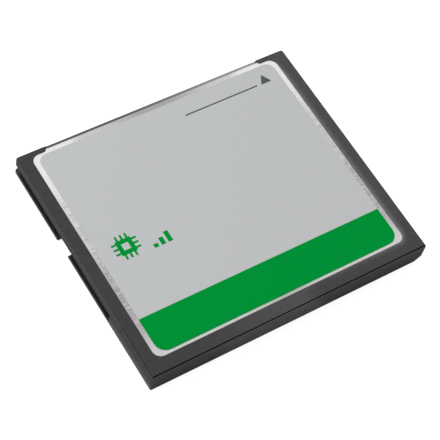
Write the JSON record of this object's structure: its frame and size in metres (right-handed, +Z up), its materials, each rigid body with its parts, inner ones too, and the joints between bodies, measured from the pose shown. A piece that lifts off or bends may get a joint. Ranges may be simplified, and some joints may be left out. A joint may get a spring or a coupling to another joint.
{
  "type": "flash memory card",
  "caption": "Thin flat memory card: black plastic case with steel cover plates, keyed guide slots along both sides, a socket connector across one end and a printed label on top.",
  "frame": {"origin": "middle of the underside, at the centre of the bounding box's bottom face", "axes": "+Z up, label side; +Y towards the connector end; +X to the right seen from above with the connector end at the top"},
  "size_m": [0.0428, 0.0364, 0.0033],
  "materials": {
    "case_plastic": "black, finely textured, satin",
    "cover_steel": "thin stainless sheet, satin",
    "label_print": "printed film, grey with a green field",
    "connector_resin": "black moulded resin, gold plated tails",
    "contact_gold": "gold plated spring contacts inside the connector's bores",
    "board_laminate": "green solder mask",
    "chip_resin": "black moulded resin, tinned leads",
    "crystal_can": "nickel plated can",
    "capacitor_ceramic": "tan ceramic, tinned ends",
    "resistor_ceramic": "black glaze, tinned ends"
  },
  "bodies": {
    "root": {"upper_shell": "case_plastic", "lower_shell": "case_plastic", "top_cover": "cover_steel", "bottom_cover": "cover_steel", "label": "label_print", "connector": "connector_resin", "circuit_board": "board_laminate", "memory_chip_left": "chip_resin", "memory_chip_right": "chip_resin", "controller": "chip_resin", "regulator": "chip_resin", "reset_supervisor": "chip_resin", "crystal": "crystal_can", "resistor_network_1": "resistor_ceramic", "resistor_network_2": "resistor_ceramic", "resistor_network_3": "resistor_ceramic", "resistor_network_4": "resistor_ceramic", "capacitor_1": "capacitor_ceramic", "capacitor_2": "capacitor_ceramic", "capacitor_3": "capacitor_ceramic", "capacitor_4": "capacitor_ceramic", "capacitor_5": "capacitor_ceramic", "capacitor_6": "capacitor_ceramic", "capacitor_7": "capacitor_ceramic", "capacitor_8": "capacitor_ceramic", "capacitor_9": "capacitor_ceramic", "capacitor_10": "capacitor_ceramic", "capacitor_11": "capacitor_ceramic", "capacitor_12": "capacitor_ceramic", "resistor_1": "resistor_ceramic", "resistor_2": "resistor_ceramic", "resistor_3": "resistor_ceramic", "resistor_4": "resistor_ceramic", "ferrite_bead": "resistor_ceramic"}
  },
  "joints": []
}
